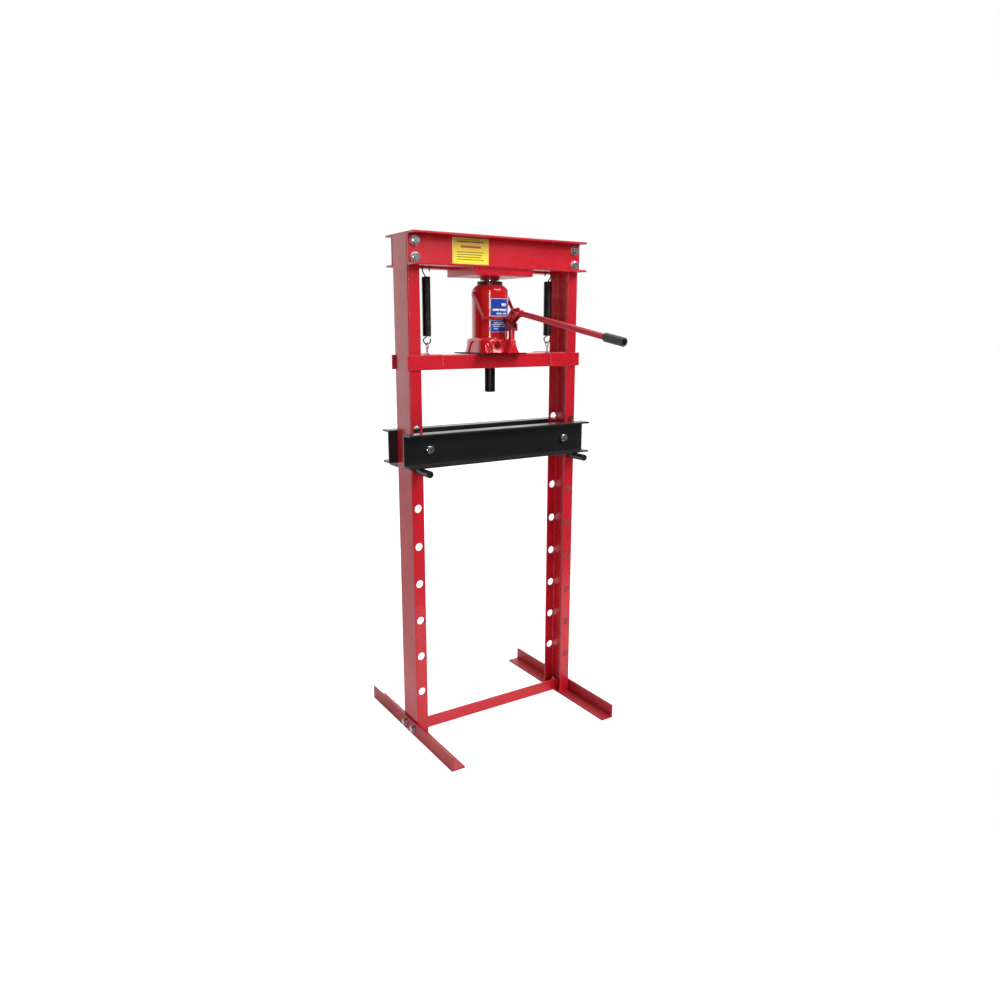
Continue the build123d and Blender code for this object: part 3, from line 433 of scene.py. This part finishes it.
def caution_film():
    """Yellow film from a brownish gold at its top edge to a bright yellow at its bottom edge: painted shade
    under the head beam's top flange.
    """
    material, tree, shader = new_material("caution_film", (0.85, 0.62, 0.03), 0.0, 0.35)
    place = tree.nodes.new("ShaderNodeTexCoord")
    split = tree.nodes.new("ShaderNodeSeparateXYZ")
    tree.links.new(place.outputs["Object"], split.inputs["Vector"])
    # painted shade: the yellow darkens towards the film's top edge, below the beam's flange
    height = remap(tree, split.outputs["Z"], 1.292, 1.236)
    top_shaded_yellow = blend_colours(tree, height, (0.52, 0.31, 0.04, 1), (0.96, 0.86, 0.03, 1))
    cloud = noise(tree, 60.0, 3.0)
    patchy = remap(tree, cloud.outputs["Fac"], 0.3, 0.7, 0.0, 0.12)
    tree.links.new(blend_colours(tree, patchy, top_shaded_yellow, (0.95, 0.85, 0.30, 1)), shader.inputs["Base Color"])
    shader.inputs["Coat Weight"].default_value = 0.3
    return material


def film(name, light, dark, roughness):
    """Printed film: an even colour with a faint mottle under a thin gloss."""
    material, tree, shader = new_material(name, light, 0.0, roughness)
    tone = use_group(tree, "tone", Light=(*light, 1), Dark=(*dark, 1), Scale=30.0)
    tree.links.new(tone.outputs["Color"], shader.inputs["Base Color"])
    shader.inputs["Coat Weight"].default_value = 0.4
    shader.inputs["Coat Roughness"].default_value = 0.1
    return material


materials = {
    "frame_paint": enamel("frame_paint", (0.58, 0.007, 0.021), (0.50, 0.006, 0.017), (0.75, 0.16, 0.17),
                          0.24, 0.36, 0.25),
    "jack_paint": enamel("jack_paint", (0.62, 0.006, 0.010), (0.52, 0.004, 0.008), (0.80, 0.14, 0.14),
                         0.12, 0.2, 0.8, radius=0.0012),
    "bed_paint": enamel("bed_paint", (0.008, 0.008, 0.009), (0.005, 0.005, 0.006), (0.10, 0.10, 0.11),
                        0.3, 0.42, 0.15, dust=0.05),
    "zinc": bare_metal("zinc", (0.62, 0.64, 0.68), (0.46, 0.48, 0.52), 0.22, 0.36),
    "dark_steel": bare_metal("dark_steel", (0.045, 0.040, 0.042), (0.022, 0.020, 0.022), 0.3, 0.45),
    "ground_steel": bare_metal("ground_steel", (0.62, 0.60, 0.60), (0.50, 0.48, 0.48), 0.1, 0.2),
    "spring_steel": bare_metal("spring_steel", (0.060, 0.060, 0.064), (0.030, 0.030, 0.032), 0.28, 0.42),
    "grip_rubber": rubber("grip_rubber", (0.060, 0.062, 0.068), (0.035, 0.036, 0.040), 0.55, 0.00003),
    "seal_rubber": rubber("seal_rubber", (0.02, 0.02, 0.02), (0.01, 0.01, 0.01), 0.6, 0.00001),
    "caution_film": caution_film(),
    "jack_film": film("jack_film", (0.008, 0.055, 0.42), (0.006, 0.035, 0.30), 0.3),
}
print_white = film("print_white", (0.80, 0.82, 0.88), (0.66, 0.70, 0.80), 0.35)
print_red = film("print_red", (0.50, 0.06, 0.03), (0.40, 0.05, 0.03), 0.4)
print_dark = film("print_dark", (0.09, 0.06, 0.02), (0.05, 0.04, 0.02), 0.4)
pale_yellow = film("pale_yellow", (0.80, 0.66, 0.22), (0.62, 0.46, 0.14), 0.4)

# Darker, duller copy of the frame's red for the feet: painted shade, darker low down on the press.
shaded_foot_paint = enamel("shaded_foot_paint", (0.46, 0.007, 0.018), (0.36, 0.006, 0.014), (0.60, 0.14, 0.15),
                    0.38, 0.5, 0.1, dust=0.03)
# Darker maroon copy of the red paint for the carry bail, clamp screw and fulcrum bracket: painted shade.
shaded_linkage_paint = enamel("shaded_linkage_paint", (0.42, 0.006, 0.014), (0.30, 0.005, 0.010), (0.5, 0.10, 0.10),
                       0.30, 0.42, 0.12)
# Dark reddish steel for the pump plunger and its gland, far darker than bare steel.
dark_reddish_steel = bare_metal("dark_reddish_steel", (0.16, 0.10, 0.10), (0.08, 0.05, 0.05), 0.3, 0.42)
# Brighter red with near-white edges for the beads by the guide plates: painted glints.
glinting_weld_paint = enamel("glinting_weld_paint", (0.72, 0.030, 0.050), (0.52, 0.010, 0.022), (0.95, 0.62, 0.62),
                    0.12, 0.25, 0.7, edge_wear_and_glint_amount=0.9, depth=0.00012)
# Lighter copy of the jack's red for the cast base: painted light, the base looking brightly lit from the
# front.
lit_casting_paint = enamel("lit_casting_paint", (0.80, 0.010, 0.024), (0.66, 0.007, 0.016), (0.90, 0.20, 0.20),
                       0.14, 0.24, 0.7, radius=0.0012)

variants = {
    "handle_tube": enamel("handle_paint", (0.68, 0.016, 0.044), (0.58, 0.012, 0.034), (0.80, 0.20, 0.22),
                          0.4, 0.52, 0.05),
    "left_foot": shaded_foot_paint,
    "right_foot": shaded_foot_paint,
    "carry_bail": shaded_linkage_paint,
    "clamp_screw": shaded_linkage_paint,
    "pump_plunger": dark_reddish_steel,
    "pump_gland": dark_reddish_steel,
    "fulcrum_bracket": shaded_linkage_paint,
    # the gland nut in a dark maroon enamel, almost black
    "gland_nut": enamel("dark_maroon_nut", (0.10, 0.008, 0.012), (0.035, 0.008, 0.010), (0.30, 0.05, 0.05),
                        0.3, 0.45, 0.1),
    "release_valve": enamel("valve_paint", (0.30, 0.005, 0.010), (0.20, 0.004, 0.008), (0.5, 0.10, 0.10),
                            0.25, 0.4, 0.2),
    "head_washers": bare_metal("washer_zinc", (0.86, 0.86, 0.88), (0.70, 0.70, 0.74), 0.3, 0.45,
                               metallic=0.6),
}


def dress_cad_nodes():
    """Give each CAD node the finish of its own material slot, or its own variant of it."""
    for part in frame["record"]["subparts"]:
        mesh = frame["nodes"][part["node"]].data
        mesh.materials.clear()
        mesh.materials.append(variants.get(part["node"], materials[part["material_slot"]]))


# ---------------------------------------------------------------- pieces
def return_spring(side, node):
    """Close-wound coil p(a) = (R cos a, R sin a, pitch a / 2 pi), a hook on its rod and a loop in its eye."""
    x = side * spring_x
    mean = spring_radius - wire_radius
    turns = round((coil_high - coil_low) / (2 * wire_radius)) - 1
    a = np.linspace(0, 2 * math.pi * turns, turns * 28)
    height = np.linspace(coil_low + wire_radius, coil_high - wire_radius, len(a))
    coil = np.stack([x + mean * np.cos(a), mean * np.sin(a), height], 1)
    lean = side * mean
    top = hook_top - wire_radius - mean
    arch = np.radians(np.linspace(0, 180, 13))
    hook = [(x + 0.1 * lean, 0, coil_high - 0.003), (x + 0.25 * lean, 0, coil_high + 0.002),
            (x + 0.75 * lean, 0, coil_high + 0.008), (x + lean, 0, coil_high + 0.016)]
    hook += [(x + lean * math.cos(t), 0, top + mean * math.sin(t)) for t in arch]
    hook += [(x - lean, 0, coil_high + 0.012)]
    low = loop_low + wire_radius + mean
    bow = np.radians(np.linspace(-200, 20, 15))
    loop = [(x, 0, coil_low + 0.003), (x - 0.3 * mean, 0, coil_low - 0.001)]
    loop += [(x - mean * math.cos(t + math.pi), 0, low + mean * math.sin(t)) for t in bow]
    wires = [capped_shell(tube_rows(coil, wire_radius, (0, 0, 1), 8)),
             capped_shell(tube_rows(through(hook, 5), hook_radius, (0, 1, 0), 10)),
             capped_shell(tube_rows(through(loop, 5), hook_radius, (0, 1, 0), 10))]
    spring = piece(node + "_wire", wires, materials["spring_steel"], None)
    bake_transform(spring)
    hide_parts(node)


def smooth_step(value, low, high):
    """0 below low, 1 above high, 3t^2 - 2t^3 between."""
    t = np.clip((value - low) / (high - low), 0, 1)
    return t * t * (3 - 2 * t)


def arch_distance(x, z, centre, spring_z, half_width):
    """Distance outside an arch: |x - c| - w below the springing, a half circle of radius w above it."""
    side = np.abs(x - centre)
    return np.where(z > spring_z, np.hypot(side, z - spring_z), side) - half_width


def casting_outline(a, flare, grow):
    """Radius at azimuth a: the rounded rectangle |x / w|^4.2 + |y / h|^4.2 = 1 and the pump's round lug,

    joined as (body^26 + lug^26)^(1/26).  flare and grow widen them, from 0 at the top to 1 at the foot.
    """
    half_x = 0.0520 + 0.0058 * flare
    half_y = np.where(np.sin(a) < 0, 0.0600 + 0.0055 * flare, 0.0500 + 0.0035 * flare)
    power = 4.2
    body = (np.abs(np.cos(a) / half_x) ** power + np.abs(np.sin(a) / half_y) ** power) ** (-1 / power)
    lug_x, lug_y = 0.019, -0.0745
    lug = 0.0105 + 0.0100 * grow
    along = lug_x * np.cos(a) + lug_y * np.sin(a)
    inside = lug ** 2 - (lug_x ** 2 + lug_y ** 2 - along ** 2)
    reach = np.where(inside > 0, along + np.sqrt(np.maximum(inside, 0)), 0.02)
    sharpness = 26
    return (body ** sharpness + reach ** sharpness) ** (1 / sharpness)


def front_pockets(r, x, z, facing):
    """The radius with a deep round pocket and a shallow arched one in the front, each inside a raised rim."""
    disc = np.hypot(x + 0.015, z - 1.036) - 0.0078
    arch = arch_distance(x, z, -0.0385, 1.0365, 0.0062)
    for gap, depth in ((disc, 0.0060), (arch, 0.0030)):
        pocket = (1 - smooth_step(gap, -0.0012, 0.0008)) * facing
        rim = np.exp(-((gap - 0.0018) / 0.0011) ** 2) * facing
        r = r - depth * pocket + 0.0011 * rim
    return r


def jack_casting():
    """Cast base r(a, t), t from foot to top: a flaring outline, recesses in three sides and a shoulder."""
    low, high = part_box("jack_base")
    t = np.concatenate([np.linspace(0, 1, 48), [1, 1, 1]])[:, None]
    a = np.linspace(0, 2 * math.pi, 540, endpoint=False)[None, :]
    z = casting_low + (casting_high - casting_low) * t + 0 * a
    z[1] = casting_low + 0.0003
    r = casting_outline(a, (1 - t) ** 2.2, (1 - t) ** 2)
    r = front_pockets(r, r * np.cos(a), z, np.sin(a) < -0.2)
    side_depth, top_rounding, foot_rounding = 0.0030, 0.0016, 0.0006
    for face in (math.pi, 0):
        gap = arch_distance(r * np.sin(a), z, -0.004, 1.0265, 0.019)
        r = r - side_depth * (1 - smooth_step(gap, -0.003, 0.002)) * (np.cos(a - face) > 0.5)
    r = r - top_rounding * smooth_step(t, 0.86, 1.0) ** 2
    r[0] -= foot_rounding
    # the shoulder's last three rings draw in under the tank, and keep a third of the lug's reach
    wall = r[-4]
    for row, inner in ((-3, 0.0530), (-2, 0.0500)):
        r[row] = np.minimum(r[row], inner + 0.35 * np.maximum(wall - inner, 0))
    r[-1] = np.minimum(r[-1], 0.0478)
    z[-3:] = [[1.0508], [1.0520], [1.0545]]
    rows = np.clip(np.stack([r * np.cos(a), r * np.sin(a), z], 2), np.array(low), np.array(high))
    casting = piece("jack_casting", [capped_shell(rows)], lit_casting_paint, "platform_body")
    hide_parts("jack_base")


def guide_welds():
    """Beads down the inner edges of the guide plates, and along their tops where they meet the platform."""
    shells = []
    for side in (-1, 1):
        for face in (-1, 1):
            x, y = side * (guide_inner_x - 0.0004), face * (guide_back_y + 0.0014)
            shells.append(bead_shell((x, y, platform_low + 0.002), (x, y, platform_high - 0.002), 0.0032))
            y, z = face * guide_back_y, platform_high - 0.0002
            shells.append(bead_shell((side * guide_inner_x, y, z), (side * guide_weld_end, y, z), 0.0022))
    # their enamel carries painted glints: brighter red and near-white edges
    piece("guide_welds", shells, glinting_weld_paint, "platform_body")


def head_welds():
    """Beads where the head plate meets the two head beams, and round the socket ring."""
    shells = [ring_bead_shell((0, 0, 1.2058), 0.0254, 0.0018)]
    for face in (-1, 1):
        front = face * 0.0712
        shells.append(bead_shell((-0.084, front, beam_weld_z), (0.084, front, beam_weld_z), 0.0024))
    for side in (-1, 1):
        for face in (-1, 1):
            x = side * 0.0866
            shells.append(bead_shell((x, face * 0.047, beam_weld_z), (x, face * 0.069, beam_weld_z), 0.0022))
    piece("head_welds", shells, materials["frame_paint"], "frame_body")


def flat_bars(name, rows, material):
    """Thin printed bars [(x0, x1, z0, z1)] on the face of the yellow film."""
    face, half = -0.04642, 0.00004
    shells = [box_shell((x0, face - half, z0), (x1, face + half, z1)) for x0, x1, z0, z1 in rows]
    piece(name, shells, material, "frame_body", smooth=False)


def caution_print():
    """Border, heading bar and rows of plain bars on the yellow film."""
    left, right, low, high = -0.1355, -0.0325, 1.2310, 1.2930
    edge = 0.0022
    border = [(left, right, high - edge, high), (left, right, low, low + edge),
              (left, left + edge, low + edge, high - edge), (right - edge, right, low + edge, high - edge)]
    heading = [(-0.113, -0.055, 1.2700, 1.2752)]
    rows = [(-0.124, -0.088, 1.2830, 1.2856), (-0.084, -0.046, 1.2830, 1.2856)]
    rows += [(-0.124 + 0.002 * (k % 2), -0.047 - 0.004 * (k % 3), 1.2590 - 0.0058 * k, 1.2607 - 0.0058 * k)
             for k in range(4)]
    flat_bars("caution_border", border, pale_yellow)
    flat_bars("caution_heading", heading, print_red)
    flat_bars("caution_rows", rows, print_dark)


def jack_print():
    """White borders round an upper and a lower blue field, and plain bars in them: azimuths, then heights."""
    left, right = 238.2, 305.6
    border = [(left, right, 1.1506, 1.1516), (left, right, 1.1074, 1.1090),
              (left, 239.6, 1.1090, 1.1506), (304.4, right, 1.1090, 1.1506),
              (left, right, 1.0684, 1.0692), (left, 239.2, 1.0692, 1.0965),
              (304.6, right, 1.0692, 1.0965), (left, right, 1.0965, 1.0972)]
    rows = [(276, 296, 1.1325, 1.1400), (246, 268, 1.1205, 1.1262), (270, 300, 1.1205, 1.1262),
            (258, 278, 1.1125, 1.1160), (281, 298, 1.1125, 1.1160), (250, 296, 1.0905, 1.0922),
            (244, 300, 1.0862, 1.0880), (248, 270, 1.0812, 1.0832), (274, 298, 1.0812, 1.0832),
            (250, 264, 1.0750, 1.0776)]
    sunk, thickness = 0.00002, 0.00006
    shells = [patch_shell(label_radius - sunk, thickness, *place) for place in border + rows]
    piece("jack_print", shells, print_white, "platform_body")


def build_pieces():
    """Finishes for the CAD nodes, then every new piece."""
    dress_cad_nodes()
    return_spring(-1, "left_return_spring")
    return_spring(1, "right_return_spring")
    jack_casting()
    guide_welds()
    head_welds()
    caution_print()
    jack_print()


# ---------------------------------------------------------------- surroundings
def floor():
    """Pale matt floor under the feet: it looks white itself, but throws little of that light on the press."""
    left, right, front, back, height = -2, 30, -0.95, 40, -0.0005
    corners = [(left, front, height), (right, front, height), (right, back, height), (left, back, height)]
    mesh = bpy.data.meshes.new("studio_floor")
    mesh.from_pydata(corners, [], [(0, 1, 2, 3)])
    material, tree, shader = new_material("studio_floor", (0.90, 0.90, 0.90), 0.0, 0.9)
    shader.inputs["Specular IOR Level"].default_value = 0.1
    shader.inputs["Emission Color"].default_value = (1, 1, 1, 1)
    ray = tree.nodes.new("ShaderNodeLightPath")
    glow = remap(tree, ray.outputs["Is Camera Ray"], 0.0, 1.0, 0.12, 0.8)
    tree.links.new(glow, shader.inputs["Emission Strength"])
    mesh.materials.append(material)
    thing = bpy.data.objects.new("studio_floor", mesh)
    bpy.context.scene.collection.objects.link(thing)


def surroundings():
    """White background; reflections see a bright wall behind the press and a dim room in front of it."""
    world = bpy.data.worlds.new("studio")
    world.use_nodes = True
    tree = world.node_tree
    place = tree.nodes.new("ShaderNodeTexCoord")
    dot = tree.nodes.new("ShaderNodeVectorMath")
    dot.operation = "DOT_PRODUCT"
    dot.inputs[1].default_value = (0.42, 0.90, 0.10)
    tree.links.new(place.outputs["Generated"], dot.inputs[0])
    level = remap(tree, dot.outputs["Value"], 0.20, 0.50, 0.10, 1.35)
    back = tree.nodes["Background"]
    tree.links.new(level, back.inputs["Strength"])
    back.inputs["Color"].default_value = (1, 1, 1, 1)
    plain = tree.nodes.new("ShaderNodeBackground")
    plain.inputs["Color"].default_value = (1, 1, 1, 1)
    ray = tree.nodes.new("ShaderNodeLightPath")
    mix = tree.nodes.new("ShaderNodeMixShader")
    tree.links.new(ray.outputs["Is Camera Ray"], mix.inputs["Fac"])
    tree.links.new(back.outputs["Background"], mix.inputs[1])
    tree.links.new(plain.outputs["Background"], mix.inputs[2])
    tree.links.new(mix.outputs["Shader"], tree.nodes["World Output"].inputs["Surface"])
    bpy.context.scene.world = world


def area_light(name, place, target, width, height, power, seen=True):
    """Soft rectangular light at a place, looking at a target; an unseen one leaves no reflection."""
    data = bpy.data.lights.new(name, "AREA")
    data.shape = "RECTANGLE"
    data.size = width
    data.size_y = height
    data.energy = power
    lamp = bpy.data.objects.new(name, data)
    lamp.location = place
    lamp.visible_glossy = seen
    lamp.rotation_euler = (Vector(target) - Vector(place)).to_track_quat("-Z", "Y").to_euler()
    bpy.context.scene.collection.objects.link(lamp)


def lights():
    area_light("overhead", (1.0, -2.2, 2.9), (0, 0, 1.0), 1.8, 1.8, 72)
    area_light("strip", (-2.0, -3.2, 1.25), (0, 0, 1.1), 0.16, 1.7, 30)
    area_light("front_fill", (0.2, -2.4, 2.0), (0, 0, 1.2), 1.0, 1.0, 20, seen=False)


def camera():
    """Eye-level view from the front left."""
    data = bpy.data.cameras.new("view")
    data.sensor_width = 36
    data.lens = 28.107
    data.dof.use_dof = False
    eye = bpy.data.objects.new("view", data)
    eye.location = (-1.10725, -1.77255, 1.08212)
    look = Vector((0.52795, 0.82101, -0.21688)).to_track_quat("-Z", "Y")
    eye.rotation_euler = (look @ Quaternion((0, 0, 1), 0.002)).to_euler()
    bpy.context.scene.collection.objects.link(eye)
    bpy.context.scene.camera = eye


build_pieces()
floor()
surroundings()
lights()
camera()
bpy.context.scene.view_settings.view_transform = "Standard"
